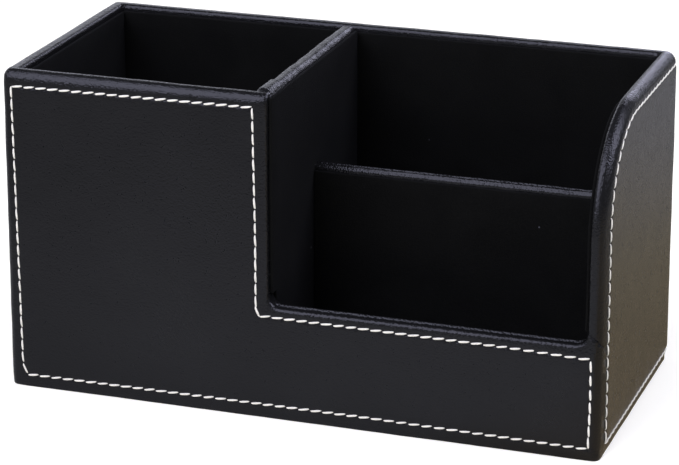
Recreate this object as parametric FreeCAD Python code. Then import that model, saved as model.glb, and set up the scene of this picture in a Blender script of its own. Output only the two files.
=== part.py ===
"""Three-bay desk caddy: fibreboard walls, velvet-lined bays and a sewn leatherette cover.

Millimetres, +Z up. The origin is the middle of the underside, the front looks along -Y, +X is to the right.
The carcass is wrapped like a book cover: leatherette rolls over every rim and is turned in behind the lining.
"""
import FreeCAD, Part
import math
import os
from FreeCAD import Vector

# Overall size over the covers
width = 200.0
depth = 92.5
height = 108.5

# Sheet thicknesses
board = 3.0                 # fibreboard of the walls, the base and the tall divider
thin_board = 2.0            # fibreboard of the low divider
leather = 0.8               # leatherette with its cloth backing
lining = 1.2                # card faced with velvet
pad = 0.4                   # felt sheet under the base

# Front outline and dividers
pen_width = 90.3            # left end to the right face of the tall divider
strip_height = 38.3         # low part of the front, in front of the right bays
opening_radius = 4.0        # bottom corners of the front opening
curve_radius = 36.0         # sweep at the front of the right wall
divider_back = 41.7         # front face to the front of the low divider's cap
divider_top = 73.5          # underside of the caddy to the top of the low divider

# Leatherwork
hem = 12.0                  # leatherette turned in over an edge
edge_radius = 2.2           # roll of the outer edges, over the sanded corners of the boards
rim_radius = 1.2            # tighter roll of the inner rims, the front opening and the foot
side_return = 4.0           # front cover turned round onto the side walls
seam_slope = 0.67           # fall of the seam across the front edge of the right wall
lining_drop = 1.5           # lining cards stop this far below a rim
pad_margin = 2.5            # felt stops this far inside the outer faces
fit = 0.2                   # clearance round a card that is dropped in

# Decorative lockstitch
stitch_pitch = 4.2
stitch_share = 0.82         # visible thread over one pitch
thread = 0.85               # width of the thread as it lies
thread_rise = 0.4           # thread above the leatherette
stitch_slant = 7.0          # degrees each stitch lies across its row
row_inset = 4.1             # rows along the rim and the base
row_strip_inset = 3.6       # row along the low front strip
row_step_inset = 4.6        # row beside the step of the front
row_side_inset = 3.2        # front rows beside the vertical corners
row_side_setback = 8.0      # side rows behind the front face
row_curve_radius = 30.0     # row round the sweep of the right wall
row_step_cut = 2.5          # the row cuts the inner corner of the step

# Planes that the pieces share
x_left, x_right = -width / 2, width / 2
y_front, y_back = -depth / 2, depth / 2
wrapped = leather + board + leather
shell = leather + board
z_wrap = pad
z_board = pad + leather
z_base = z_board + board
z_floor = z_base + lining
x_pen = x_left + pen_width
x_pen_cap = x_pen - wrapped
y_cap = y_front + divider_back
cap_thick = leather + thin_board + leather
beyond = 1.0                # cutters run this far past what they cut


def block(x0, x1, y0, y1, z0, z1):
    return Part.makeBox(x1 - x0, y1 - y0, z1 - z0, Vector(x0, y0, z0))


def prism(edges, direction):
    """Solid swept from a closed loop of edges along a straight direction."""
    return Part.Face(Part.Wire(edges)).extrude(direction)


def arc(start, middle, end):
    return Part.Arc(start, middle, end).toShape()


def line(start, end):
    return Part.LineSegment(start, end).toShape()


def polygon(points):
    return Part.makePolygon(points + points[:1]).Edges


def front_opening(x0, x1, z0, radius, y0, y1):
    """Cutter for the open part of the front wall, round in both of its bottom corners."""
    top = height + beyond
    slant = radius * math.sqrt(0.5)
    left, right, middle = x0 + radius, x1 - radius, z0 + radius
    edges = [
        line(Vector(x0, y0, top), Vector(x0, y0, middle)),
        arc(Vector(x0, y0, middle), Vector(left - slant, y0, middle - slant), Vector(left, y0, z0)),
        line(Vector(left, y0, z0), Vector(right, y0, z0)),
        arc(Vector(right, y0, z0), Vector(right + slant, y0, middle - slant), Vector(x1, y0, middle)),
        line(Vector(x1, y0, middle), Vector(x1, y0, top)),
        line(Vector(x1, y0, top), Vector(x0, y0, top)),
    ]
    return prism(edges, Vector(0, y1 - y0, 0))


def swept_side(inset, x0, x1, y_end, z0):
    """Right-hand wall shape, held a constant distance inside the sweep, the top and the front."""
    y0, z1 = y_front + inset, height - inset
    radius = curve_radius - inset
    y_mid, z_mid = y0 + radius, z1 - radius
    slant = radius * math.sqrt(0.5)
    edges = [
        line(Vector(x0, y0, z0), Vector(x0, y0, z_mid)),
        arc(Vector(x0, y0, z_mid), Vector(x0, y_mid - slant, z_mid + slant), Vector(x0, y_mid, z1)),
        line(Vector(x0, y_mid, z1), Vector(x0, y_end, z1)),
        line(Vector(x0, y_end, z1), Vector(x0, y_end, z0)),
        line(Vector(x0, y_end, z0), Vector(x0, y0, z0)),
    ]
    return prism(edges, Vector(x1 - x0, 0, 0))


# Fibreboard carcass: glued butt joints, with the front, back and base held between the two sides

def lies(points, axis, planes):
    """True where all the points are on one of the planes square to the axis."""
    return any(all(abs(point[axis] - plane) < 1e-6 for point in points) for plane in planes)


def edge_points(edge):
    first, last = edge.FirstParameter, edge.LastParameter
    return [edge.valueAt(first + (last - first) * share) for share in (0.0, 0.5, 1.0)]


def outer_edges(shape, inset):
    """The upright corners, the top edges and the sweep, on planes held a distance inside the covers."""
    planes_x, planes_y = (x_left + inset, x_right - inset), (y_front + inset, y_back - inset)
    found = []
    for edge in shape.Edges:
        points = edge_points(edge)
        on_top, on_side = lies(points, 2, (height - inset,)), lies(points, 0, planes_x)
        middle = points[1]
        above = middle.x > 0 and middle.z > height - curve_radius
        sweep = lies(points, 0, planes_x[1:]) and above and middle.y < y_front + curve_radius
        if sweep or on_top + on_side + lies(points, 1, planes_y) >= 2:
            found.append(edge)
    return found


def sanded(piece):
    """A board with the outer corners of the carcass sanded round, as deep as the leatherette's roll needs."""
    block_all = block(
        x_left + leather, x_right - leather, y_front + leather, y_back - leather, z_board, height - leather
    )
    corner = block(
        x_right - shell, x_right, y_front, y_front + curve_radius, height - curve_radius, height
    )
    keep = swept_side(leather, x_right - shell - beyond, x_right + beyond, y_back, z_board)
    core = block_all.cut(corner.cut(keep))
    return piece.common(core.makeFillet(edge_radius - leather, outer_edges(core, leather)))


def make_left_board():
    x0 = x_left + leather
    return sanded(block(x0, x0 + board, y_front + leather, y_back - leather, z_board, height - leather))


def make_right_board():
    return sanded(swept_side(leather, x_right - shell, x_right - leather, y_back - leather, z_board))


def make_back_board():
    y1 = y_back - leather
    return sanded(block(x_left + shell, x_right - shell, y1 - board, y1, z_board, height - leather))


def make_front_board():
    """Stepped panel: the cut-out is round at the tall divider and bevelled at the right wall."""
    x0, x1 = x_left + shell, x_right - shell
    y0 = y_front + leather
    top, sill = height - leather, strip_height - leather
    x_step = x_pen - leather
    radius = opening_radius + leather
    slant = radius * math.sqrt(0.5)
    bevel = (2 - math.sqrt(2)) * radius
    edges = [
        line(Vector(x0, y0, z_board), Vector(x0, y0, top)),
        line(Vector(x0, y0, top), Vector(x_step, y0, top)),
        line(Vector(x_step, y0, top), Vector(x_step, y0, sill + radius)),
        arc(
            Vector(x_step, y0, sill + radius),
            Vector(x_step + radius - slant, y0, sill + radius - slant),
            Vector(x_step + radius, y0, sill),
        ),
        line(Vector(x_step + radius, y0, sill), Vector(x1 - bevel, y0, sill)),
        line(Vector(x1 - bevel, y0, sill), Vector(x1, y0, sill + bevel)),
        line(Vector(x1, y0, sill + bevel), Vector(x1, y0, z_board)),
        line(Vector(x1, y0, z_board), Vector(x0, y0, z_board)),
    ]
    return sanded(prism(edges, Vector(0, board, 0)))


def make_base_board():
    return block(x_left + shell, x_right - shell, y_front + shell, y_back - shell, z_board, z_base)


def make_tall_divider_board():
    return block(x_pen - shell, x_pen - leather, y_front + shell, y_back - shell, z_base, height - leather)


def make_low_divider_board():
    x0, x1 = low_divider_span()
    return block(x0, x1, y_cap + leather, y_cap + leather + thin_board, z_floor, divider_top - leather)


def low_divider_span():
    """The low divider drops in between the lining cards of the two walls beside it."""
    return x_pen + lining + fit, x_right - wrapped - lining - fit


# Leatherette covers: one sheet for the front and one that wraps the left, back and right walls

def inner_edges(shape):
    """The inner rims, the edges of the front opening and the foot of the wrapped walls."""
    x_in, y_in = x_right - wrapped, y_front + wrapped
    found = []
    for edge in shape.Edges:
        points = edge_points(edge)
        middle = points[1]
        clear_of_sill = not lies(points, 1, (y_in,))
        on_inner_x = lies(points, 0, (x_left + wrapped, x_in, x_pen))
        rim = lies(points, 2, (height,)) and (on_inner_x or lies(points, 1, (y_in, y_back - wrapped)))
        curved = middle.z > height - curve_radius and middle.y < y_front + curve_radius
        sweep = lies(points, 0, (x_in,)) and curved and clear_of_sill
        beside = lies(points, 1, (y_front,)) and x_pen - 1e-6 < middle.x < x_in + 1e-6
        opening = beside and strip_height - 1e-6 < middle.z < height - 1e-6
        step = lies(points, 0, (x_pen,)) and middle.z > strip_height + opening_radius and clear_of_sill
        at_edge = middle.x < x_left + edge_radius or middle.x > x_right - edge_radius
        at_edge = at_edge or middle.y < y_front + edge_radius or middle.y > y_back - edge_radius
        foot = lies(points, 2, (z_wrap,)) and at_edge
        if rim or sweep or opening or step or foot:
            found.append(edge)
    return found


def make_wrapped_walls():
    """All four walls in their leatherette, as one ring with soft edges."""
    walls = block(x_left, x_right, y_front, y_back, z_wrap, height)
    x0, x1 = x_left + wrapped, x_right - wrapped
    inside = block(x0, x1, y_front + wrapped, y_back - wrapped, z_board, height + beyond)
    turn = leather + hem
    under = block(x_left + turn, x_right - turn, y_front + turn, y_back - turn, z_wrap - beyond, z_board)
    opening = front_opening(
        x_pen, x_right - wrapped, strip_height, opening_radius, y_front - beyond, y_front + wrapped
    )
    walls = walls.cut(inside).cut(under).cut(opening)
    corner = block(
        x_right - wrapped, x_right + beyond, y_front - beyond, y_front + curve_radius,
        height - curve_radius, height + beyond,
    )
    keep = swept_side(0.0, x_right - wrapped - beyond, x_right + 2 * beyond, y_back, z_wrap)
    walls = walls.cut(corner.cut(keep)).removeSplitter()
    walls = walls.makeFillet(edge_radius, outer_edges(walls, 0.0))
    return walls.makeFillet(rim_radius, inner_edges(walls)).cut(sill_round())


def sill_round():
    """Cutter that rounds the inner edge of the low front strip between its two corners."""
    x0, x1 = x_pen + opening_radius, x_right - wrapped - opening_radius
    y1, z1 = y_front + wrapped, strip_height
    edge = block(x0, x1, y1 - rim_radius, y1 + beyond, z1 - rim_radius, z1 + beyond)
    middle = Vector(x0 - beyond, y1 - rim_radius, z1 - rim_radius)
    return edge.cut(Part.makeCylinder(rim_radius, x1 - x0 + 2 * beyond, middle, Vector(1, 0, 0)))


def turned_in_trim():
    """Space behind the walls that the turned-in hems leave free."""
    y0, y1 = y_front + shell, y_back - shell
    x0, x1 = x_left + shell, x_right - shell
    low = block(x0, x1, y0, y1, z_board, strip_height - hem)
    pen = block(x0, x_pen - leather, y0, y1, z_board, height - hem)
    rear = block(x_pen - leather, x_right - wrapped, 0, y1, z_board, height - hem)
    right = swept_side(leather + hem, x_right - wrapped, x1, y1, z_board)
    return low.fuse([pen, rear, right])


def front_cover_region():
    """Space that belongs to the front cover: mitred under the base, cut on a slant at the right wall."""
    reach = leather + hem
    x0, x1 = x_left - beyond, x_right + beyond
    y_seam = y_front + side_return
    outline = polygon([
        Vector(x0, y_front - beyond, 0),
        Vector(x1, y_front - beyond, 0),
        Vector(x1, y_seam, 0),
        Vector(x_right - side_return, y_seam, 0),
        Vector(x_right - reach, y_front + reach, 0),
        Vector(x_left + reach, y_front + reach, 0),
        Vector(x_left + side_return, y_seam, 0),
        Vector(x0, y_seam, 0),
    ])
    region = prism(outline, Vector(0, 0, height + beyond))
    return region.cut(above_seam())


def above_seam():
    """Everything above the slanting seam at the front of the right wall."""
    size = height
    slab = Part.makeBox(2 * size, 2 * size, 2 * size, Vector(-size, -size, 0))
    start = Vector(x_right - wrapped, y_front, strip_height + opening_radius)
    tilt = FreeCAD.Rotation(Vector(0, 0, 1), Vector(seam_slope, seam_slope, 1))
    slab.Placement = FreeCAD.Placement(start, tilt)
    right_end = block(x_pen + opening_radius, x_right + beyond, y_front - beyond, y_back, 0, 2 * height)
    return slab.common(right_end)


def make_covers(boards):
    """The front cover and the wrap round the other three walls, cut from the same skin."""
    skin = make_wrapped_walls().cut(boards + [turned_in_trim()])
    region = front_cover_region()
    front = skin.common(region)
    step_flap = block(
        x_pen - leather, x_pen, y_front + wrapped, y_front + shell + hem,
        strip_height + opening_radius, height - hem - fit,
    )
    return front.fuse(step_flap).removeSplitter(), skin.cut(region).removeSplitter()


def make_tall_divider_cap(divider_board):
    cap = block(x_pen_cap, x_pen, y_front + wrapped, y_back - wrapped, height - hem, height)
    sides = (x_pen_cap, x_pen)
    top = [edge for edge in cap.Edges if lies(edge_points(edge), 2, (height,))]
    rims = [edge for edge in top if lies(edge_points(edge), 0, sides)]
    return cap.makeFillet(rim_radius, rims).cut(divider_board)


def make_low_divider_cap(divider_board):
    x0, x1 = low_divider_span()
    cap = block(x0, x1, y_cap, y_cap + cap_thick, divider_top - hem, divider_top)
    sides = (y_cap, y_cap + cap_thick)
    top = [edge for edge in cap.Edges if lies(edge_points(edge), 2, (divider_top,))]
    rims = [edge for edge in top if lies(edge_points(edge), 1, sides)]
    return cap.makeFillet(min(rim_radius, 0.45 * cap_thick), rims).cut(divider_board)


# Velvet lining cards, the floors first and the walls standing on them

def make_floor_lining(x0, x1):
    return block(x0 + fit, x1 - fit, y_front + shell + fit, y_back - shell - fit, z_base, z_floor)


def make_cross_lining(x0, x1, y0, z1):
    """Card that stands along the front or back of a bay."""
    return block(x0 + fit, x1 - fit, y0, y0 + lining, z_floor, z1)


def make_end_lining(x0):
    """Card on an end wall of the pen bay, between the cards along its front and back."""
    y0, y1 = y_front + wrapped + lining + fit, y_back - wrapped - lining - fit
    return block(x0, x0 + lining, y0, y1, z_floor, height - lining_drop)


def clear_of_sill(x0, x1):
    """Cutter that keeps a side card behind the low front strip and above its round corner."""
    sill_back = y_front + wrapped + fit
    return block(x0, x1, y_front, sill_back, z_floor - beyond, strip_height + opening_radius + fit)


def make_bay_left_lining():
    x0, x1 = x_pen, x_pen + lining
    y1 = y_back - wrapped - lining - fit
    card = block(x0, x1, y_front + lining_drop, y1, z_floor, height - lining_drop)
    return card.cut(clear_of_sill(x0 - beyond, x1 + beyond))


def make_bay_right_lining():
    x0, x1 = x_right - wrapped - lining, x_right - wrapped
    card = swept_side(lining_drop, x0, x1, y_back - wrapped - lining - fit, z_floor)
    return card.cut(clear_of_sill(x0 - beyond, x1 + beyond))


def make_divider_lining(y0):
    x0, x1 = low_divider_span()
    return block(x0, x1, y0, y0 + lining, z_floor, divider_top - lining_drop)


def make_wall_lining_set():
    """The cards that stand in the three bays, by name."""
    x_pen_in, x_bay_in = x_left + wrapped, x_right - wrapped
    y_front_in, y_back_in = y_front + wrapped, y_back - wrapped - lining
    top, sill = height - lining_drop, strip_height - lining_drop
    return {
        "pen_front_lining": make_cross_lining(x_pen_in, x_pen_cap, y_front_in, top),
        "pen_back_lining": make_cross_lining(x_pen_in, x_pen_cap, y_back_in, top),
        "pen_left_lining": make_end_lining(x_pen_in),
        "pen_divider_lining": make_end_lining(x_pen_cap - lining),
        "bay_back_lining": make_cross_lining(x_pen, x_bay_in, y_back_in, top),
        "bay_front_lining": make_cross_lining(x_pen + lining, x_bay_in - lining, y_front_in, sill),
        "bay_left_lining": make_bay_left_lining(),
        "bay_right_lining": make_bay_right_lining(),
    }


def make_base_pad():
    margin = pad_margin
    return block(x_left + margin, x_right - margin, y_front + margin, y_back - margin, 0, pad)


# Rows of lockstitch: every visible stitch is a short length of thread lying on the leatherette

def stitch(centre, along, outward):
    """One stitch: a flat-bottomed bar of thread, lower at its ends where it dips into the needle holes."""
    half, dip = stitch_pitch * stitch_share / 2, thread_rise
    bar = Part.makeWedge(
        -half, 0, -thread / 2, dip / 2 - thread / 2, dip - half,
        half, thread_rise, thread / 2, thread / 2 - dip / 2, half - dip,
    )
    lie = FreeCAD.Rotation(outward, stitch_slant).multVec(along)
    across = lie.cross(outward)
    bar.Placement = FreeCAD.Placement(FreeCAD.Matrix(
        lie.x, outward.x, across.x, centre.x,
        lie.y, outward.y, across.y, centre.y,
        lie.z, outward.z, across.z, centre.z,
        0, 0, 0, 1,
    ))
    return bar


def straight_row(start, end, outward):
    run = end - start
    count = max(1, round(run.Length / stitch_pitch))
    along = Vector(run).normalize()
    return [stitch(start + run * ((i + 0.5) / count), along, outward) for i in range(count)]


def sewn_along(points, outward):
    """Straight rows from point to point."""
    return [bar for a, b in zip(points, points[1:]) for bar in straight_row(a, b, outward)]


def make_front_stitching():
    """Closed row that follows the stepped outline of the front cover."""
    x0, x1 = x_left + row_side_inset, x_right - row_side_inset
    z0, top = z_wrap + row_inset, height - row_inset
    x_step, sill = x_pen - row_step_inset, strip_height - row_strip_inset
    outline = [
        (x0, z0), (x0, top), (x_step, top), (x_step, sill + row_step_cut),
        (x_step + row_step_cut, sill), (x1, sill), (x1, z0), (x0, z0),
    ]
    return Part.makeCompound(sewn_along([Vector(x, y_front, z) for x, z in outline], Vector(0, -1, 0)))


def make_left_stitching():
    """Row along the base, up behind the front seam and along the rim, from corner to corner of the wall."""
    y0, y1 = y_front + row_side_setback, y_back - edge_radius
    z0, top = z_wrap + row_inset, height - row_inset
    outline = [(y1, z0), (y0, z0), (y0, top), (y1, top)]
    return Part.makeCompound(sewn_along([Vector(x_left, y, z) for y, z in outline], Vector(-1, 0, 0)))


def make_right_stitching():
    """As on the left wall, with the row following the sweep."""
    outward = Vector(1, 0, 0)
    y0, y1 = y_front + row_side_setback, y_back - edge_radius
    z0, top = z_wrap + row_inset, height - row_inset
    radius = row_curve_radius
    y_mid, z_mid = y0 + radius, top - radius
    bars = sewn_along([Vector(x_right, y, z) for y, z in ((y1, z0), (y0, z0), (y0, z_mid))], outward)
    count = max(1, round(radius * math.pi / 2 / stitch_pitch))
    for i in range(count):
        turn = (i + 0.5) / count * math.pi / 2
        side, up = math.cos(turn), math.sin(turn)
        centre = Vector(x_right, y_mid - radius * side, z_mid + radius * up)
        bars.append(stitch(centre, Vector(0, up, side), outward))
    bars += straight_row(Vector(x_right, y_mid, top), Vector(x_right, y1, top), outward)
    return Part.makeCompound(bars)


def make_back_stitching():
    """The rows of the two sides carried on across the back, along the rim and the base."""
    x0, x1 = x_left + edge_radius, x_right - edge_radius
    outward = Vector(0, 1, 0)
    bars = []
    for z in (z_wrap + row_inset, height - row_inset):
        bars += straight_row(Vector(x1, y_back, z), Vector(x0, y_back, z), outward)
    return Part.makeCompound(bars)


def build():
    parts = {
        "left_board": make_left_board(),
        "right_board": make_right_board(),
        "back_board": make_back_board(),
        "front_board": make_front_board(),
        "base_board": make_base_board(),
        "tall_divider_board": make_tall_divider_board(),
        "low_divider_board": make_low_divider_board(),
    }
    carcass = [parts[name] for name in (
        "left_board", "right_board", "back_board", "front_board", "base_board", "tall_divider_board",
    )]
    parts["front_cover"], parts["side_wrap_cover"] = make_covers(carcass)
    parts["tall_divider_cap"] = make_tall_divider_cap(parts["tall_divider_board"])
    parts["low_divider_cap"] = make_low_divider_cap(parts["low_divider_board"])
    parts["pen_floor_lining"] = make_floor_lining(x_left + shell, x_pen - shell)
    parts["bay_floor_lining"] = make_floor_lining(x_pen - leather, x_right - shell)
    parts.update(make_wall_lining_set())
    parts["low_divider_front_lining"] = make_divider_lining(y_cap - lining)
    parts["low_divider_back_lining"] = make_divider_lining(y_cap + cap_thick)
    parts["base_pad"] = make_base_pad()
    parts["front_stitching"] = make_front_stitching()
    parts["left_stitching"] = make_left_stitching()
    parts["right_stitching"] = make_right_stitching()
    parts["back_stitching"] = make_back_stitching()
    return parts


os.makedirs("parts", exist_ok=True)
for name, shape in build().items():
    solids = shape.Solids
    assert solids and shape.isValid(), name
    print("%-26s %2d solid  %9.1f mm3" % (name, len(solids), shape.Volume))
    (solids[0] if len(solids) == 1 else shape).exportStep("parts/%s.step" % name)
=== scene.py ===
import math
import random

import bmesh
import bpy
import numpy as np
from mathutils import Matrix, Vector, noise


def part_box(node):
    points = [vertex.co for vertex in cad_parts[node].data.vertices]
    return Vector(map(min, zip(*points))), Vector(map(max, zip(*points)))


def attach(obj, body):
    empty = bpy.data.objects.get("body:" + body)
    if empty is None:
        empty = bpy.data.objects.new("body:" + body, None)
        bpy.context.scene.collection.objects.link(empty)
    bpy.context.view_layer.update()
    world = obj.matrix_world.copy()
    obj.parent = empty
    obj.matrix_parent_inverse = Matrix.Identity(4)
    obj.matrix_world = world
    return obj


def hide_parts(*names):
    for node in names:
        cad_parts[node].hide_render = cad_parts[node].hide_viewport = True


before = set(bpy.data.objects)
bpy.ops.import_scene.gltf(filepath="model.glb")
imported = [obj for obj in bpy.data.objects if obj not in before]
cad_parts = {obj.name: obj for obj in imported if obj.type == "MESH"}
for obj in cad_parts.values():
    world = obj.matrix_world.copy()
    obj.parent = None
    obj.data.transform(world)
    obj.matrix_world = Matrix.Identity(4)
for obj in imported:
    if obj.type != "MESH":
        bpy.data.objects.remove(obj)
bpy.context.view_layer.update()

# Carcass: seven sheets of medium-density fibreboard, sawn square, glued edge to edge and sanded round at the
# outer corners. The covers and the lining hide them, so the boards keep their shape and only get a finish.

MM = 0.001


def linear(code):
    """The linear colour of an sRGB hex code, fully opaque."""
    channels = [int(code[i:i + 2], 16) / 255 for i in (0, 2, 4)]
    return [c / 12.92 if c <= 0.04045 else ((c + 0.055) / 1.055) ** 2.4 for c in channels] + [1.0]


def add_node(tree, kind, inputs=(), stops=(), **settings):
    """One node with its settings. An input is a value, or the output of another node to link. The stops are
    the places and colours of a ramp, in order."""
    made = tree.nodes.new(kind)
    for name, value in settings.items():
        setattr(made, name, value)
    for name, value in dict(inputs).items():
        if isinstance(value, bpy.types.NodeSocket):
            tree.links.new(value, made.inputs[name])
        else:
            made.inputs[name].default_value = value
    for i, (place, colour) in enumerate(stops):
        elements = made.color_ramp.elements
        stop = elements[i] if i < len(elements) else elements.new(place)
        stop.position, stop.color = place, colour
    return made


def new_material(name):
    """A material with its node tree, its shader and the coordinates of the piece in metres."""
    made = bpy.data.materials.new(name)
    made.use_nodes = True
    tree = made.node_tree
    place = add_node(tree, "ShaderNodeTexCoord").outputs["Object"]
    return made, tree, tree.nodes["Principled BSDF"], place


def per_mm(size):
    """The scale of a pattern whose cells are that many millimetres across."""
    return 1 / (size * MM)


# Sawn fibreboard: a dull tan felted surface with darker fibre flecks, all of it rough.
fibreboard, tree, surface, place = new_material("sawn_fibreboard")
fibres = add_node(tree, "ShaderNodeTexNoise", {"Vector": place, "Scale": per_mm(0.7), "Detail": 4.0})
tone = add_node(
    tree, "ShaderNodeValToRGB", {"Fac": fibres.outputs["Fac"]},
    stops=((0.35, linear("6e5238")), (0.65, linear("a98a64"))),
)
nap = add_node(
    tree, "ShaderNodeBump", {"Height": fibres.outputs["Fac"], "Strength": 0.4, "Distance": 0.1 * MM}
)
tree.links.new(tone.outputs["Color"], surface.inputs["Base Color"])
tree.links.new(nap.outputs["Normal"], surface.inputs["Normal"])
surface.inputs["Roughness"].default_value = 0.85

for name in ("left", "right", "back", "front", "base", "tall_divider", "low_divider"):
    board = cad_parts[name + "_board"].data
    board.materials.clear()
    board.materials.append(fibreboard)

# Base pad: a thin sheet of pressed black felt, die-cut with round corners and glued under the base, where it
# covers the turned-in edges of the leatherette.

pad_corner = 5.0
pad_edge = 0.1
pad_grid = 6.0


def box_mm(node):
    """The lowest and highest corner of a node of the frame, in millimetres."""
    low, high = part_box(node)
    return low / MM, high / MM


def add_block(bm, low, high):
    """A block between two corners."""
    verts = bmesh.ops.create_cube(bm, size=1)["verts"]
    bmesh.ops.scale(bm, vec=high - low, verts=verts)
    bmesh.ops.translate(bm, vec=(low + high) / 2, verts=verts)


def bevel(bm, edges, radius, segments):
    """Rounds edges."""
    bmesh.ops.bevel(
        bm, geom=edges, offset=radius, offset_type="OFFSET", affect="EDGES", segments=segments,
        profile=0.5, material=-1, clamp_overlap=False,
    )


def sharp_edges(bm):
    """The edges whose two faces meet at more than one radian."""
    return [edge for edge in bm.edges if edge.calc_face_angle() > 1]


def slice_at(bm, axis, places):
    """Cuts every face where it crosses the planes at these places along an axis."""
    square = Vector((axis == 0, axis == 1, axis == 2))
    for place in places:
        geom = bm.verts[:] + bm.edges[:] + bm.faces[:]
        bmesh.ops.bisect_plane(bm, geom=geom, dist=1e-3, plane_co=square * place, plane_no=square)


def steps(low, high, pitch):
    """Evenly spaced places between two others, about a pitch apart."""
    count = max(1, round((high - low) / pitch))
    return [low + (high - low) * i / count for i in range(1, count)]


def add_piece(name, bm, finish, node):
    """Makes a mesh that was modelled in millimetres a piece of the caddy, in place of a node of the frame."""
    bmesh.ops.scale(bm, vec=(MM, MM, MM), verts=bm.verts)
    mesh = bpy.data.meshes.new(name)
    bm.to_mesh(mesh)
    bm.free()
    mesh.shade_smooth()
    mesh.materials.append(finish)
    piece = bpy.data.objects.new(name, mesh)
    bpy.context.scene.collection.objects.link(piece)
    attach(piece, "root")
    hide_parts(node)
    return piece


# Pressed felt: matted black fibres, so a blotchy tone, no gloss and a faint sheen at grazing angles.
felt, tree, surface, place = new_material("pressed_felt")
mat = add_node(
    tree, "ShaderNodeTexNoise", {"Vector": place, "Scale": per_mm(0.9), "Detail": 5.0, "Roughness": 0.7}
)
tone = add_node(
    tree, "ShaderNodeValToRGB", {"Fac": mat.outputs["Fac"]},
    stops=((0.3, linear("141416")), (0.75, linear("2a2a2c"))),
)
fuzz = add_node(
    tree, "ShaderNodeBump", {"Height": mat.outputs["Fac"], "Strength": 0.7, "Distance": 0.2 * MM}
)
tree.links.new(tone.outputs["Color"], surface.inputs["Base Color"])
tree.links.new(fuzz.outputs["Normal"], surface.inputs["Normal"])
surface.inputs["Roughness"].default_value = 0.95
surface.inputs["Specular IOR Level"].default_value = 0.15
surface.inputs["Sheen Weight"].default_value = 0.2

pad_low, pad_high = box_mm("base_pad")
bm = bmesh.new()
add_block(bm, pad_low, pad_high)
bevel(bm, [e for e in bm.edges if abs(e.verts[0].co.z - e.verts[1].co.z) > 0.1], pad_corner, 6)
bevel(bm, sharp_edges(bm), pad_edge, 2)
for axis in (0, 1):
    slice_at(bm, axis, steps(pad_low[axis], pad_high[axis], pad_grid))
add_piece("base_felt_pad", bm, felt, "base_pad")

# Lining: cards of thin greyboard faced with black velvet, cut to fit and dropped into the bays, floors first.
# They are glued to the boards, so they lie flat, with edges that the pile makes round.

card_edge = 0.45
card_grid = 6.0
card_swell = 0.14
card_swell_size = 17.0
plain_cards = (
    "pen_floor", "pen_front", "pen_back", "pen_left", "pen_divider",
    "bay_floor", "bay_front", "bay_back", "low_divider_front", "low_divider_back",
)

# Short-pile velvet: it drinks light, with a faint bluish sheen, brushed patches and pale specks of lint.
velvet, tree, surface, place = new_material("short_pile_velvet")
pile = add_node(
    tree, "ShaderNodeTexNoise", {"Vector": place, "Scale": per_mm(0.5), "Detail": 3.0, "Roughness": 0.7}
)
brushed = add_node(
    tree, "ShaderNodeTexNoise", {"Vector": place, "Scale": per_mm(22), "Detail": 3.0, "Distortion": 0.8}
)
mixed = add_node(
    tree, "ShaderNodeMath", {0: brushed.outputs["Fac"], 1: 0.6, 2: pile.outputs["Fac"]},
    operation="MULTIPLY_ADD",
)
tone = add_node(
    tree, "ShaderNodeValToRGB", {"Fac": mixed.outputs[0]},
    stops=((0.45, linear("050504")), (1.0, linear("0f0f0d"))),
)
lint = add_node(tree, "ShaderNodeTexVoronoi", {"Vector": place, "Scale": per_mm(17), "Randomness": 1.0})
speck = add_node(
    tree, "ShaderNodeMapRange", {"Value": lint.outputs["Distance"], 1: 0.012, 2: 0.022, 3: 1.0, 4: 0.0}
)
dusty = add_node(
    tree, "ShaderNodeMix", {0: speck.outputs[0], 6: tone.outputs["Color"], 7: linear("55555a")},
    data_type="RGBA",
)
raised = add_node(
    tree, "ShaderNodeBump", {"Height": pile.outputs["Fac"], "Strength": 0.6, "Distance": 0.25 * MM}
)
tree.links.new(dusty.outputs[2], surface.inputs["Base Color"])
tree.links.new(raised.outputs["Normal"], surface.inputs["Normal"])
surface.inputs["Roughness"].default_value = 0.9
surface.inputs["Specular IOR Level"].default_value = 0.08
surface.inputs["Sheen Weight"].default_value = 0.02
surface.inputs["Sheen Roughness"].default_value = 0.4
surface.inputs["Sheen Tint"].default_value = linear("b9bdd0")


def ripple(bm, depth, size, seed):
    """Moves the surface in and out by a soft noise, up to a depth and with hills of a size."""
    bm.normal_update()
    moves = []
    for vert in bm.verts:
        moves.append(vert.normal * (noise.noise(vert.co / size + Vector((seed, 0, 0))) * depth))
    for vert, move in zip(bm.verts, moves):
        vert.co += move


def finish_card(bm, name):
    """Rounds a card's edges, lets it lie a little uneven and puts it in place of its node."""
    low, high = box_mm(name)
    bevel(bm, sharp_edges(bm), card_edge, 3)
    for axis in range(3):
        slice_at(bm, axis, steps(low[axis], high[axis], card_grid))
    ripple(bm, card_swell, card_swell_size, len(name))
    add_piece(name + "_card", bm, velvet, name)


for name in plain_cards:
    bm = bmesh.new()
    add_block(bm, *box_mm(name + "_lining"))
    finish_card(bm, name + "_lining")

# Side cards of the right-hand bays: greyboard faced with velvet as well, but notched over the low front strip,
# and the right one follows the sweep of its wall. Each is cut out flat and then given its thickness.

tuck = 0.8
fit = 0.2
curve_radius = 36.0
opening_radius = 4.0
cover_low = Vector(map(min, box_mm("front_cover")[0], box_mm("side_wrap_cover")[0]))
cover_high = Vector(map(max, box_mm("front_cover")[1], box_mm("side_wrap_cover")[1]))
x_left, y_front, x_right, y_back = cover_low.x, cover_low.y, cover_high.x, cover_high.y
height = cover_high.z
wrapped = box_mm("tall_divider_cap")[1].x - box_mm("tall_divider_cap")[0].x
lining_drop = height - box_mm("pen_left_lining")[1].z
strip_top = box_mm("bay_front_lining")[1].z + lining_drop


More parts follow.
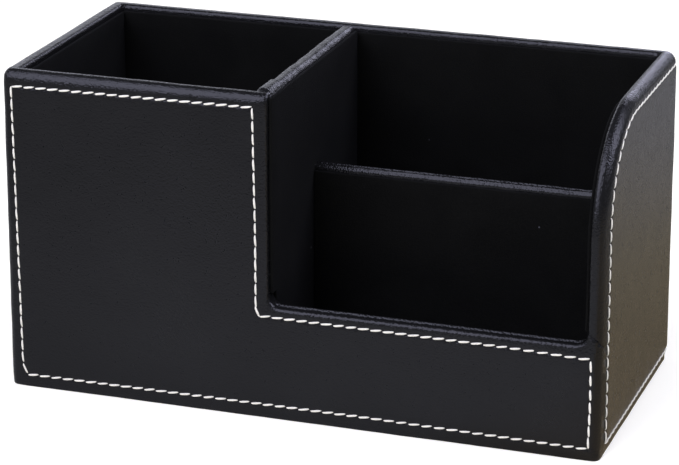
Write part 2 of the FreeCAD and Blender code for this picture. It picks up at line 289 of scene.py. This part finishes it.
def side_card(name, sweep):
    """A side card: its outline with the notch, the corner of the sweep cut round, and its thickness."""
    low, high = box_mm(name)
    y_sill, z_notch = y_front + wrapped + fit, strip_top + opening_radius + fit
    top = high.z if sweep else high.z + tuck
    outline = (
        (low.y, z_notch), (low.y, top), (high.y, top), (high.y, low.z), (y_sill, low.z), (y_sill, z_notch),
    )
    bm = bmesh.new()
    face = bm.faces.new([bm.verts.new((low.x, y, z)) for y, z in outline])
    if sweep:
        corner = [v for v in face.verts if v.co.z > high.z - 0.1 and v.co.y < 0]
        bmesh.ops.bevel(
            bm, geom=corner, offset=sweep, affect="VERTICES", segments=20, profile=0.5, material=-1
        )
    raised = bmesh.ops.extrude_face_region(bm, geom=bm.faces[:])["geom"]
    verts = [v for v in raised if isinstance(v, bmesh.types.BMVert)]
    bmesh.ops.translate(bm, vec=(high.x - low.x, 0, 0), verts=verts)
    bmesh.ops.recalc_face_normals(bm, faces=bm.faces)
    finish_card(bm, name)


side_card("bay_left_lining", 0)
side_card("bay_right_lining", curve_radius - lining_drop)

# Covers: two sheets of black leatherette, glued round the carcass as one skin and turned in behind the lining.
# The front sheet laps a little onto the sides. Each wall's stitched panel is padded, so the margin falls away.

edge_roll = 2.4
rim_roll = 1.2
foot_roll = 0.4
foot = 0.05
hem = 12.0
hide = 0.7
x_pen = box_mm("tall_divider_cap")[1].x
x_in, y_in = x_right - wrapped, y_front + wrapped
inner_x, inner_y = (x_left + wrapped, x_in, x_pen), (y_in, y_back - wrapped)

# Embossed leatherette: near black, with a fine pebble grain that breaks up the gloss. The grain is drawn
# about twice as coarse as the real one, so that it shows as a sparkle along the rolled edges.
leatherette, tree, surface, place = new_material("embossed_leatherette")
pebble = add_node(
    tree, "ShaderNodeTexVoronoi", {"Vector": place, "Scale": per_mm(0.64), "Smoothness": 0.35},
    feature="SMOOTH_F1",
)
crease = add_node(
    tree, "ShaderNodeTexNoise", {"Vector": place, "Scale": per_mm(2.6), "Detail": 3.0, "Distortion": 1.2}
)
relief = add_node(
    tree, "ShaderNodeMath", {0: crease.outputs["Fac"], 1: 0.2, 2: pebble.outputs["Distance"]},
    operation="MULTIPLY_ADD",
)
grain = add_node(
    tree, "ShaderNodeBump", {"Height": relief.outputs[0], "Strength": 1.0, "Distance": 0.11 * MM}, invert=True
)
cloud = add_node(tree, "ShaderNodeTexNoise", {"Vector": place, "Scale": per_mm(30), "Detail": 4.0})
tone = add_node(
    tree, "ShaderNodeValToRGB", {"Fac": cloud.outputs["Fac"]},
    stops=((0.3, linear("101010")), (0.7, linear("151515"))),
)
gloss = add_node(
    tree, "ShaderNodeMapRange", {"Value": crease.outputs["Fac"], 1: 0.3, 2: 0.7, 3: 0.2, 4: 0.28}
)
tree.links.new(tone.outputs["Color"], surface.inputs["Base Color"])
tree.links.new(gloss.outputs[0], surface.inputs["Roughness"])
tree.links.new(grain.outputs["Normal"], surface.inputs["Normal"])
surface.inputs["Specular IOR Level"].default_value = 0.26
surface.inputs["Specular Tint"].default_value = (0.97, 0.97, 1.0, 1)


def on(edge, **planes):
    """True where both ends of an edge lie on one of the planes given for each axis."""
    for axis, places in planes.items():
        ends = [getattr(vert.co, axis) for vert in edge.verts]
        if not any(all(abs(end - place) < 0.01 for end in ends) for place in places):
            return False
    return True


def middle(edge):
    return (edge.verts[0].co + edge.verts[1].co) / 2


def slice_faces(bm, faces, place, square):
    """Cuts only some faces with a plane."""
    parts = {part for face in faces for part in (*face.verts, *face.edges)}
    bmesh.ops.bisect_plane(bm, geom=[*parts, *faces], dist=1e-3, plane_co=place, plane_no=square)
    bmesh.ops.remove_doubles(bm, verts=bm.verts, dist=1e-3)


def in_front_wall(bm):
    return [face for face in bm.faces if max(vert.co.y for vert in face.verts) < y_in + 0.01]


# The skin starts as an open box with thick walls, whose front is then cut down to the low strip.
bm = bmesh.new()
add_block(bm, Vector((x_left, y_front, foot)), Vector((x_right, y_back, height)))
top = [face for face in bm.faces if face.normal.z > 0.5]
bmesh.ops.inset_region(bm, faces=top, thickness=wrapped, use_even_offset=True)
sunk = bmesh.ops.extrude_face_region(bm, geom=top)["geom"]
bottom = [face for face in sunk if isinstance(face, bmesh.types.BMFace)]
bmesh.ops.translate(bm, vec=(0, 0, strip_top - hem - height), verts=bottom[0].verts)
under = [face for face in bm.faces if face.normal.z < -0.5 and face.calc_center_median().z < 1]
bmesh.ops.inset_region(bm, faces=under, thickness=hem, use_even_offset=True)
bmesh.ops.delete(bm, geom=bottom + under + [face for face in top if face.is_valid], context="FACES")
bmesh.ops.recalc_face_normals(bm, faces=bm.faces)
slice_faces(bm, in_front_wall(bm), (x_pen, 0, 0), (1, 0, 0))
slice_faces(bm, in_front_wall(bm), (x_in, 0, 0), (1, 0, 0))
slice_faces(bm, in_front_wall(bm), (0, 0, strip_top), (0, 0, 1))
cut_out = []
for face in in_front_wall(bm):
    centre = face.calc_center_median()
    if x_pen < centre.x < x_in and centre.z > strip_top:
        cut_out.append(face)
bmesh.ops.delete(bm, geom=cut_out, context="FACES")
reveal = [edge for edge in bm.edges if edge.is_boundary and (on(edge, y=(y_front,)) or on(edge, y=(y_in,)))]
bmesh.ops.bridge_loops(bm, edges=[edge for edge in reveal if middle(edge).z > strip_top - 0.01])
bmesh.ops.recalc_face_normals(bm, faces=bm.faces)
bmesh.ops.dissolve_limit(bm, angle_limit=math.radians(1), verts=bm.verts, edges=bm.edges)

# Then come the large sweep, the round corners of the opening, and the rolls of the outer and inner edges.
sweep_edge = [edge for edge in bm.edges if on(edge, y=(y_front,), z=(height,)) and middle(edge).x > x_in]
bevel(bm, sweep_edge, curve_radius, 24)
right_inside = [face for face in bm.faces if all(abs(vert.co.x - x_in) < 0.01 for vert in face.verts)]
slice_faces(bm, right_inside, (0, y_in, 0), (0, 1, 0))
bevel(bm, [edge for edge in bm.edges if on(edge, x=(x_pen, x_in), z=(strip_top,))], opening_radius, 8)


def in_sweep(point):
    in_corner = point.z > height - curve_radius - 0.01 and point.y < y_front + curve_radius
    return in_corner and point.x > x_in - 0.01


def is_outer(edge):
    sides = on(edge, x=(x_left, x_right)) + on(edge, y=(y_front, y_back)) + on(edge, z=(height,))
    return sides >= 2 or on(edge, x=(x_right,)) and in_sweep(middle(edge))


def is_inner(edge):
    spot = middle(edge)
    rim = on(edge, z=(height,)) and (on(edge, x=inner_x) or on(edge, y=inner_y))
    sweep = on(edge, x=(x_in,)) and in_sweep(spot) and not on(edge, y=(y_in,))
    beside = x_pen - 0.01 < spot.x < x_in + 0.01 and strip_top - 0.01 < spot.z < height - 0.01
    opening = on(edge, y=(y_front,)) and beside
    step = on(edge, x=(x_pen,)) and spot.z > strip_top + opening_radius and not on(edge, y=(y_in,))
    sill = on(edge, y=(y_in,), z=(strip_top,))
    return rim or sweep or opening or step or sill


bevel(bm, [edge for edge in bm.edges if is_outer(edge)], edge_roll, 7)
bevel(bm, [edge for edge in bm.edges if is_inner(edge)], rim_roll, 5)
outline = [edge for edge in bm.edges if on(edge, z=(foot,)) and not edge.is_boundary]
bevel(bm, [edge for edge in outline if edge.calc_face_angle() > 1], foot_roll, 4)

# The stitched rows, as outlines on each wall: across the front, and from corner to corner of the other walls.
# The front row wanders a little, as sewn by hand along a drawn line.
stitch_pitch = 4.12
row_top, row_foot = height - 3.9, 4.5
right_top = height - 3.4
row_setback = y_front + 5.2
row_curve = 30.0
past = 6.0
x_step = x_pen - 4.0


def arc(centre, radius, start, end):
    """Points along an arc, a stitch apart, between two angles in degrees."""
    count = max(2, round(abs(math.radians(end - start)) * radius / stitch_pitch))
    turns = [math.radians(start + (end - start) * i / count) for i in range(count + 1)]
    return [(centre[0] + radius * math.cos(turn), centre[1] + radius * math.sin(turn)) for turn in turns]


front_row = [
    (x_left + 5.0, row_foot - 0.1), (x_left + 3.6, row_foot + 3.8), (x_left + 2.7, row_top - 0.7),
    (x_step - 0.7, row_top + 0.1), (x_step, row_top - 42), (x_step, strip_top - 0.4),
    (x_step + 1.0, strip_top - 3.0), (x_step + 55, strip_top - 3.25), (x_step + 84, strip_top - 3.4),
    (x_right - 3.1, strip_top - 4.1), (x_right - 2.9, 20.0), (x_right - 3.2, row_foot - 0.3),
    (25.0, row_foot + 0.4), (-20.0, row_foot + 0.35),
]
sweep_row = arc((row_setback + row_curve, right_top - row_curve), row_curve, 180, 90)
y_past, x_past = y_back + past, (x_left - past, x_right + past)
right_row = [(y_past, row_foot), (row_setback, row_foot), *sweep_row, (y_past, right_top)]
left_row = [(y_past, row_foot), (row_setback, row_foot), (row_setback, row_top), (y_past, row_top)]
back_row = [(x_past[0], row_foot), (x_past[1], row_foot), (x_past[1], row_top), (x_past[0], row_top)]

# Each wall: its axis and direction, its two own coordinates, its row, how far the pad lifts the panel, and how
# steeply the margin falls away. The pad has sagged, so all panels stand out a little more towards the foot.
walls = {
    "front": (1, -1, (0, 2), front_row, 0.35, 5.0),
    "right": (0, 1, (1, 2), right_row, 0.6, 18.0),
    "left": (0, -1, (1, 2), left_row, 0.8, 2.0),
    "back": (1, 1, (0, 2), back_row, 0.6, 2.0),
}
sag = 0.5
margin = 11.0
margin_end = 3.0
deepest_fall = -0.45
foot_fall = 0.3
foot_band = 3.0
groove_depth = 0.2
groove_width = 0.6
hole_depth = 0.15
hole_width = 0.55


def row_runs(row):
    """The straight runs of a closed row."""
    return list(zip(row, row[1:] + row[:1]))


def stitches(row):
    """Middle and direction of each stitch of a closed row, and the needle holes between them."""
    found, holes = [], []
    for start, end in row_runs(row):
        start, end = Vector(start), Vector(end)
        count = max(1, round((end - start).length / stitch_pitch))
        for i in range(count):
            found.append((start.lerp(end, (i + 0.5) / count), (end - start).normalized()))
            holes.append(start.lerp(end, i / count))
    return found, holes


def wall_relief(name, points):
    """How far the padded cover stands out at points of a wall, given in the wall's own two coordinates."""
    row, lift, tilt = walls[name][3:]
    lift = lift + sag * (1 - points[:, 1] / height)
    nearest = np.full(len(points), 1e9)
    inside = np.zeros(len(points), bool)
    for (u0, v0), (u1, v1) in row_runs(row):
        run = np.array((u1 - u0, v1 - v0))
        share = np.clip(((points - (u0, v0)) @ run) / (run @ run), 0, 1)
        apart = points - (u0, v0) - share[:, None] * run
        nearest = np.minimum(nearest, np.hypot(apart[:, 0], apart[:, 1]))
        crosses = (points[:, 1] < v0) != (points[:, 1] < v1)
        reach = u0 + (points[:, 1] - v0) * (u1 - u0) / (v1 - v0 if v1 != v0 else 1)
        inside ^= crosses & (points[:, 0] < reach)
    fall = lift - math.tan(math.radians(tilt)) * nearest
    fall *= np.clip((margin - nearest) / margin_end, 0, 1)
    deepest = np.interp(points[:, 1], (row_foot - foot_band, row_foot), (foot_fall, deepest_fall))
    rise = np.where(inside, lift, np.maximum(fall, deepest))
    rise -= groove_depth * np.exp(-(nearest / groove_width) ** 2)
    close = np.flatnonzero(nearest < 3 * hole_width)
    holes = np.array(stitches(row)[1])
    apart = points[close, None, :] - holes[None]
    gap = np.hypot(apart[..., 0], apart[..., 1]).min(axis=1)
    rise[close] -= hole_depth * np.exp(-(gap / hole_width) ** 2)
    return rise


def fine_lines(places, reach, pitch):
    """Closely spaced places around some others, as far as a reach to both sides."""
    count = round(reach / pitch)
    return [place + i * pitch for place in places for i in range(-count, count + 1)]


# The skin is cut into small cells, finer along the rows and across the sill's folds.
cell = 4.15
fine = 0.4
fold_fine = 0.15
fine_reach = 1.2
row_reach = 1.8
slice_at(bm, 0, steps(x_left, x_right, cell))
slice_at(bm, 1, steps(y_front, y_back, cell))
slice_at(bm, 2, steps(foot, height, cell))
slice_at(bm, 0, fine_lines((x_left + 3.2, x_step - 0.3, x_right - 3.0), fine_reach, fine))
slice_at(bm, 1, fine_lines((row_setback,), fine_reach, fine))
slice_at(bm, 2, fine_lines((row_foot + 0.1, strip_top - 3.5, row_top - 0.2), fine_reach, fine))
for cut in fine_lines((y_in - 1.8,), fine_reach, fold_fine):
    flat = [face for face in in_front_wall(bm) if face.normal.z > 0.5]
    sill = [face for face in flat if face.calc_center_median().z < strip_top + 1]
    slice_faces(bm, sill, (0, cut, 0), (0, 1, 0))
bmesh.ops.triangulate(bm, faces=[face for face in bm.faces if len(face.verts) > 4])
long_edges = [edge for edge in bm.edges if edge.calc_length() > 0.6 * cell]
bmesh.ops.subdivide_edges(bm, edges=long_edges, cuts=1, use_grid_fill=True)


def near_row(point):
    """True close to a row of the front or of another wall."""
    if abs(point.y - y_front) < 0.1:
        u, row = point.x, front_row
    elif abs(abs(point.x) - x_right) < 0.1:
        u, row = point.y, right_row if point.x > 0 else left_row
    else:
        u, row = point.x, back_row
    spot = Vector((u, point.z))
    for start, end in row_runs(row):
        start, run = Vector(start), Vector(end) - Vector(start)
        share = min(1, max(0, (spot - start).dot(run) / run.length_squared))
        if (spot - start - share * run).length < row_reach:
            return True
    return False


for longest in (1.3, 0.7):
    beside_row = [edge for edge in bm.edges if edge.calc_length() > longest and near_row(middle(edge))]
    bmesh.ops.subdivide_edges(bm, edges=beside_row, cuts=1, use_grid_fill=True)
bmesh.ops.triangulate(bm, faces=[face for face in bm.faces if len(face.verts) > 4])
bm.normal_update()


# Turned-in edges stop at the hem, and the rest of the inner faces is left out.
def below_rim(point):
    """How far an inner face's point lies from the rim, or from the sweep or front edge of the right wall."""
    sweep_y, sweep_z = point.y - y_front - curve_radius, point.z - height + curve_radius
    if point.x > x_in - 0.1 and sweep_z < 0:
        return point.y - y_front
    if sweep_y < 0 < sweep_z and point.x > 0:
        return curve_radius - math.hypot(sweep_y, sweep_z)
    return height - point.z


hidden = []
for face in bm.faces:
    centre = face.calc_center_median()
    between_sides = x_left + wrapped - 0.1 < centre.x < x_in + 0.1
    in_bays = between_sides and y_in - 0.1 < centre.y < y_back - wrapped + 0.1
    behind_strip = abs(centre.y - y_in) < 0.1 and centre.x > x_pen
    if in_bays and centre.z > 1 and not behind_strip and below_rim(centre) > hem:
        hidden.append(face)
bmesh.ops.delete(bm, geom=hidden, context="FACES")

# The skin is pressed in at the rows and margins and lifted at the rims. The front leans back towards its rim,
# and the turned-in edge lies over the sill as a ridge with a crease in front of it: height, place and width.
blend = 0.9
nose = 0.3
rim_lift = 0.55
rim_band = 3.0
sill_folds = ((0.45, -1.5, 0.32), (-0.25, -2.2, 0.3))
points = np.array([vert.co for vert in bm.verts])
shift = np.zeros_like(points)
for name, (axis, way, own, *_) in walls.items():
    limit = ((x_left, x_right) if axis == 0 else (y_front, y_back))[way > 0]
    share = np.clip((edge_roll + blend - np.abs(points[:, axis] - limit)) / blend, 0, 1)
    chosen = np.flatnonzero(share)
    rise = wall_relief(name, points[chosen][:, own])
    if name == "front":
        rise -= nose * np.clip((points[chosen, 2] - row_top + 1) / (height - row_top + 1), 0, 1) ** 2
    shift[chosen, axis] += way * share[chosen] * rise
shift[:, 2] += rim_lift * np.clip((points[:, 2] - height + rim_band) / rim_band, 0, 1)
on_sill = (np.abs(points[:, 2] - strip_top) < 0.7) & (points[:, 0] > x_pen + 2) & (points[:, 1] < y_in + 0.01)
for rise, place, width in sill_folds:
    shift[:, 2] += on_sill * rise * np.exp(-((points[:, 1] - y_in - place) / width) ** 2)
for vert, move in zip(bm.verts, shift):
    vert.co += Vector(move)
ripple(bm, depth=0.10, size=14.0, seed=3)
ripple(bm, depth=0.05, size=4.0, seed=8)

# The skin is parted at the seams. The front sheet ends just round the corners, and below a slanting cut at the
# front edge of the right wall, where its raw edge lies over the other sheet.
side_return = 4.0
seam_slope = 0.67
lap_lift, under_lift = 0.12, -0.04
lap_width = 1.2
slant = Vector((seam_slope, seam_slope, 1)).normalized()
slant_start = Vector((x_in, y_front, strip_top + opening_radius))


def past_slant(point):
    """How far a point of the right wall lies past the slanting cut. Elsewhere it is never past it."""
    return (point - slant_start).dot(slant) if point.x > x_in - 4 else -1.0


def in_front_sheet(point):
    inside = x_left + wrapped < point.x < x_in and point.y < y_in + 0.3
    return past_slant(point) < 0 and (point.y < y_front + side_return or inside and point.z > 1)


near_front = [face for face in bm.faces if face.calc_center_median().y < y_in + 3]
slice_faces(bm, near_front, (0, y_front + side_return, 0), (0, 1, 0))
near_front = [face for face in bm.faces if face.calc_center_median().y < y_in + 3]
right_front = [face for face in near_front if face.calc_center_median().x > x_in - 2]
slice_faces(bm, right_front, slant_start, slant)
for name, keep_front in (("front_cover", True), ("side_wrap_cover", False)):
    sheet = bm.copy()
    others = [face for face in sheet.faces if in_front_sheet(face.calc_center_median()) != keep_front]
    bmesh.ops.delete(sheet, geom=others, context="FACES")
    sheet.normal_update()
    for vert in sheet.verts:
        outer = abs(vert.co.x) > x_right - 1.5 or vert.co.y < y_front + 1.5
        apart = abs(vert.co.y - y_front - side_return)
        if vert.co.x > x_in:
            apart = min(apart, abs(past_slant(vert.co)))
        if outer:
            lift = lap_lift if keep_front else under_lift
            vert.co += vert.normal * (lift * math.exp(-(apart / lap_width) ** 2))
    piece = add_piece(name + "_sheet", sheet, leatherette, name)
    thick = piece.modifiers.new("hide", "SOLIDIFY")
    thick.thickness = hide * MM
    thick.offset = -1
bm.free()

# Divider caps: strips of the same leatherette folded over the tops of the two dividers before the lining goes
# in. They are worked by hand, so the folds are uneven. The tall one ends under a tongue of the front sheet.

cap_pitch = 1.0
cap_fine = 0.2
cap_skirt = 6.0


def cap_strip(low, high, along, cap_roll, cuts):
    """A strip folded over the top of a divider that runs along an axis, with rolled edges and open below."""
    across = 1 - along
    skirt = high.z - cap_skirt
    bm = bmesh.new()
    add_block(bm, low, high)
    bmesh.ops.delete(bm, geom=[face for face in bm.faces if face.normal.z < -0.5], context="FACES")
    bevel(bm, [edge for edge in bm.edges if on(edge, z=(high.z,))], cap_roll, 7)
    slice_at(bm, along, steps(low[along], high[along], cap_pitch) + cuts)
    slice_at(bm, across, steps(low[across] + cap_roll, high[across] - cap_roll, cap_fine))
    slice_at(bm, 2, steps(skirt, high.z - cap_roll, 0.35) + steps(low.z, skirt, 2.0))
    return bm


# The tall cap starts behind a slanting gap at the front rim, leans right, and is thicker under the tongue.
tall_roll = 2.1
tall_spare = 0.8
tall_lean = 0.5
tongue = 0.6
tongue_end = y_front + 16.5
tongue_edge = 0.18
tongue_wander = 0.5
gap_depth = 1.3
gap_width = 0.6
low, high = box_mm("tall_divider_cap")
low.x -= tall_spare
low.y = y_front + 1.6
bm = cap_strip(low, high, 1, tall_roll, fine_lines((tongue_end,), 0.6, fold_fine))
gap_start, gap_end = Vector((low.x, y_front + 5.2, 0)), Vector((high.x, y_front + 2.4, 0))
gap_square = Vector((gap_start.y - gap_end.y, gap_end.x - gap_start.x, 0)).normalized()
slice_faces(bm, bm.faces[:], gap_start, gap_square)
ahead_of_gap = [face for face in bm.faces if (face.calc_center_median() - gap_start).dot(gap_square) < 0]
bmesh.ops.delete(bm, geom=ahead_of_gap, context="FACES")
bm.normal_update()
for vert in bm.verts:
    past_tongue = vert.co.y - tongue_end - tongue_wander * noise.noise(vert.co / 3)
    over = 0.5 - 0.5 * math.tanh(past_tongue / tongue_edge)
    from_gap = (vert.co - gap_start).dot(gap_square)
    vert.co += vert.normal * (tongue * over)
    leaning = max(0, (2 * vert.co.x - low.x - high.x) / (high.x - low.x))
    vert.co.z += rim_lift - gap_depth * math.exp(-(from_gap / gap_width) ** 2) - tall_lean * leaning ** 2
ripple(bm, depth=0.2, size=5.0, seed=1)
ripple(bm, depth=0.05, size=1.8, seed=4)
add_piece("tall_divider_cap_strip", bm, leatherette, "tall_divider_cap")

# The low cap is a little long and wide for its divider, with a ridge along each of its two folds.
low_roll = 0.8
low_spare_left, low_spare_right = Vector((1.3, 0.3, 0)), Vector((0.8, 0.3, 0))
ridge_offset = 1.1
ridge_width = 0.4
ridge_height = 0.6
low, high = box_mm("low_divider_cap")
low, high = low - low_spare_left, high + low_spare_right
bm = cap_strip(low, high, 0, low_roll, [])
for vert in bm.verts:
    if vert.co.z > high.z - low_roll:
        from_ridge = (abs(vert.co.y - (low.y + high.y) / 2) - ridge_offset) / ridge_width
        vert.co.z += ridge_height * math.exp(-from_ridge ** 2)
ripple(bm, depth=0.2, size=6.0, seed=2)
ripple(bm, depth=0.08, size=2.2, seed=5)
add_piece("low_divider_cap_strip", bm, leatherette, "low_divider_cap")

# Stitching: rows of thick white thread, sewn through the leatherette before it is glued. Each visible stitch
# lies slightly across its row and dips into a needle hole at both ends.

thread_width = 0.72
stitch_length = 0.94 * stitch_pitch
stitch_slant = math.radians(9)
stitch_stray = 2.5
thread_flat = 0.7
thread_taper = 0.6
thread_lift, thread_dip = 0.1, 0.4
corner_room = 0.8

# Twisted polyester thread: bright white and soft, with the slant of its plies showing as fine ridges.
thread, tree, surface, place = new_material("twisted_polyester_thread")
lengthwise = add_node(tree, "ShaderNodeUVMap", uv_map="lay").outputs["UV"]
ply = add_node(
    tree, "ShaderNodeTexWave", {"Vector": lengthwise, "Scale": 1.0, "Distortion": 0.3},
    bands_direction="DIAGONAL",
)
plies = add_node(
    tree, "ShaderNodeBump", {"Height": ply.outputs["Fac"], "Strength": 0.5, "Distance": 0.12 * MM}
)
tone = add_node(
    tree, "ShaderNodeValToRGB", {"Fac": ply.outputs["Fac"]},
    stops=((0.0, linear("f3efdf")), (1.0, linear("fffae6"))),
)
tree.links.new(tone.outputs["Color"], surface.inputs["Base Color"])
tree.links.new(plies.outputs["Normal"], surface.inputs["Normal"])
surface.inputs["Roughness"].default_value = 0.6
surface.inputs["Sheen Weight"].default_value = 0.2

# One stitch lies along x. Its map runs along the thread and round it, so that the plies follow its twist.
bm = bmesh.new()
bmesh.ops.create_cone(
    bm, cap_ends=True, segments=7, radius1=thread_width / 2, radius2=thread_width / 2, depth=stitch_length,
    matrix=Matrix.Rotation(math.pi / 2, 4, "Y"),
)
slice_at(bm, 0, [stitch_length * share for share in (-0.42, -0.3, 0.0, 0.3, 0.42)])
lay = bm.loops.layers.uv.new("lay")
for face in bm.faces:
    for loop in face.loops:
        spot = loop.vert.co
        loop[lay].uv = (spot.x * 2, math.atan2(spot.z, spot.y) * 2 / math.pi)
for vert in bm.verts:
    share = abs(vert.co.x) / (stitch_length / 2)
    taper = 1 - thread_taper * share ** 3
    vert.co.y *= taper
    vert.co.z = vert.co.z * thread_flat * taper + thread_lift - thread_dip * share ** 5
one_stitch = bpy.data.meshes.new("one_stitch")
bm.to_mesh(one_stitch)
bm.free()

for name, (axis, way, own, row, *_) in walls.items():
    hand = random.Random(name)
    bm = bmesh.new()
    low = (x_left, y_front)[own[0]] + (corner_room if name == "back" else 0.5)
    high = (x_right, y_back)[own[0]] - corner_room
    for spot, run in stitches(row)[0]:
        if not low < spot[0] < high:
            continue
        rise = wall_relief(name, np.array([spot]))[0] + groove_depth * 0.5
        outward, along = Vector(), Vector()
        outward[axis] = way
        along[own[0]], along[own[1]] = run
        place = outward * ((x_right if axis == 0 else y_back) + rise)
        place[own[0]], place[own[1]] = spot
        corner_gap = min(spot[0] - low, high - spot[0])
        place -= outward * max(0, edge_roll - corner_gap) ** 2 / (2 * edge_roll)
        stray = math.radians(hand.uniform(-stitch_stray, stitch_stray))
        lie = Matrix.Rotation(stitch_slant * (0.3 + 0.7 * abs(run[0])) + stray, 3, outward) @ along
        turn = Matrix((lie, outward.cross(lie), outward)).transposed().to_4x4()
        size = Matrix.Diagonal((hand.uniform(0.96, 1.04), hand.uniform(0.95, 1.08), 1, 1))
        known = len(bm.verts)
        bm.from_mesh(one_stitch)
        bm.verts.ensure_lookup_table()
        bmesh.ops.transform(bm, matrix=Matrix.Translation(place) @ turn @ size, verts=bm.verts[known:])
    add_piece(name + "_stitch_row", bm, thread, name + "_stitching")
bpy.data.meshes.remove(one_stitch)

# Floor: a wide sheet of pale paper that lies under the caddy and runs out of sight on every side. The
# leatherette mirrors a painted reflection of it, duller, from grey in front on the left to a warm tone close
# by on the right.

floor_reach = 4.0

# Pale paper: matt, with a faint mottle. It glows a little for the camera, and mirrors see a painted
# reflection.
paper, tree, surface, place = new_material("pale_paper")
mottle = add_node(tree, "ShaderNodeTexNoise", {"Vector": place, "Scale": per_mm(40), "Detail": 3.0})
tone = add_node(
    tree, "ShaderNodeValToRGB", {"Fac": mottle.outputs["Fac"]},
    stops=((0.0, linear("f6f3de")), (1.0, linear("f9f6e2"))),
)
tree.links.new(tone.outputs["Color"], surface.inputs["Base Color"])
surface.inputs["Roughness"].default_value = 0.9
surface.inputs["Specular IOR Level"].default_value = 0.1
# Painted reflection: colours laid across the floor for mirrors only, grey in front on the left and warm close
# by on the right.
aslant = add_node(tree, "ShaderNodeVectorMath", {0: place, 1: (1, 1, 0)}, operation="DOT_PRODUCT")
across = add_node(tree, "ShaderNodeMapRange", {"Value": aslant.outputs["Value"], 1: -0.5, 2: 0.5})
painted_reflection_tone = add_node(
    tree, "ShaderNodeValToRGB", {"Fac": across.outputs[0]},
    stops=(
        (0.04, linear("abab9f")), (0.3, linear("cfcfc4")), (0.48, linear("d9d9cd")),
        (0.57, linear("c2ae82")), (0.78, linear("a59977")), (0.96, linear("a8a69b")),
    ),
)
painted_reflection = add_node(tree, "ShaderNodeBsdfDiffuse", {"Color": painted_reflection_tone.outputs["Color"]})
glow = add_node(tree, "ShaderNodeEmission", {"Strength": 0.33})
seen = add_node(tree, "ShaderNodeAddShader", {0: surface.outputs[0], 1: glow.outputs[0]})
ray = add_node(tree, "ShaderNodeLightPath").outputs
lifted = add_node(
    tree, "ShaderNodeMixShader", {0: ray["Is Camera Ray"], 1: surface.outputs[0], 2: seen.outputs[0]}
)
# Glossy rays see the painted reflection in place of the lit paper.
both = add_node(
    tree, "ShaderNodeMixShader", {0: ray["Is Glossy Ray"], 1: lifted.outputs[0], 2: painted_reflection.outputs[0]}
)
tree.links.new(both.outputs[0], tree.nodes["Material Output"].inputs["Surface"])

bm = bmesh.new()
bmesh.ops.create_grid(bm, x_segments=8, y_segments=8, size=floor_reach)
mesh = bpy.data.meshes.new("floor")
bm.to_mesh(mesh)
bm.free()
mesh.materials.append(paper)
floor = bpy.data.objects.new("floor", mesh)
bpy.context.scene.collection.objects.link(floor)

# Light: a room that is pale low down behind, most of all on the left, and dim ahead and overhead. In it stand
# three soft boxes: a large one in front on the left, one above on the right, and a small low one behind.

room_tint = (0.93, 0.95, 1.08)
box_tint = (0.91, 0.92, 1.17)
levels_behind = ((0.0, 1.25), (0.42, 1.25), (0.5, 0.1))
levels_ahead = ((0.0, 0.14), (0.3, 0.14), (0.36, 0.2), (0.8, 0.1))
world = bpy.data.worlds.new("pale_room")
bpy.context.scene.world = world
world.use_nodes = True
tree = world.node_tree
toward = add_node(tree, "ShaderNodeTexCoord").outputs["Generated"]
parts = add_node(tree, "ShaderNodeSeparateXYZ", {"Vector": toward}).outputs
behind, ahead = [
    add_node(
        tree, "ShaderNodeValToRGB", {"Fac": parts["Z"]},
        stops=[(place, [channel * level for channel in room_tint] + [1]) for place, level in levels],
    )
    for levels in (levels_behind, levels_ahead)
]
turned = add_node(tree, "ShaderNodeMapRange", {"Value": parts["Y"], 1: -0.2, 2: 0.2})
side = add_node(tree, "ShaderNodeMapRange", {"Value": parts["X"], 1: -0.45, 2: -0.05, 3: 1.0, 4: 0.2})
uneven = add_node(
    tree, "ShaderNodeMix", {0: 1.0, 6: behind.outputs["Color"], 7: side.outputs[0]}, data_type="RGBA",
    blend_type="MULTIPLY",
)
room = add_node(
    tree, "ShaderNodeMix", {0: turned.outputs[0], 6: ahead.outputs["Color"], 7: uneven.outputs[2]},
    data_type="RGBA",
)
tree.links.new(room.outputs[2], tree.nodes["Background"].inputs["Color"])


def direction(azimuth, elevation):
    """The direction from the caddy at two angles in degrees, azimuth 0 being straight in front."""
    turn, lift = math.radians(azimuth), math.radians(elevation)
    return Vector((math.sin(turn) * math.cos(lift), -math.cos(turn) * math.cos(lift), math.sin(lift)))


def soft_box(name, azimuth, elevation, distance, width, depth, watts):
    """A soft box that looks at the caddy."""
    lamp = bpy.data.lights.new(name, "AREA")
    lamp.shape, lamp.size, lamp.size_y, lamp.energy = "RECTANGLE", width, depth, watts
    lamp.color = box_tint
    holder = bpy.data.objects.new(name, lamp)
    bpy.context.scene.collection.objects.link(holder)
    back = direction(azimuth, elevation)
    holder.location = back * distance
    holder.rotation_mode = "QUATERNION"
    holder.rotation_quaternion = back.to_track_quat("Z", "Y")


soft_box("front_box", azimuth=-27, elevation=46, distance=1.2, width=1.0, depth=1.3, watts=16)
soft_box("right_box", azimuth=100, elevation=50, distance=1.2, width=0.8, depth=0.8, watts=10.5)
soft_box("back_box", azimuth=175.4, elevation=16.6, distance=1.05, width=0.34, depth=0.6, watts=1.6)

# Camera: a long lens about a metre away, to the right of the front and above the rim, so that the front, the
# right wall and all the bays show.

lens = 154.74
camera = bpy.data.cameras.new("camera")
camera.sensor_fit = "HORIZONTAL"
camera.sensor_width = 36
camera.lens = lens
viewer = bpy.data.objects.new("camera", camera)
bpy.context.scene.collection.objects.link(viewer)
bpy.context.scene.camera = viewer
viewer.location = (0.29521, -0.86614, 0.36964)
viewer.rotation_mode = "QUATERNION"
viewer.rotation_quaternion = (-direction(18.901, 19.281)).to_track_quat("-Z", "Y")
bpy.context.scene.view_settings.view_transform = "Standard"
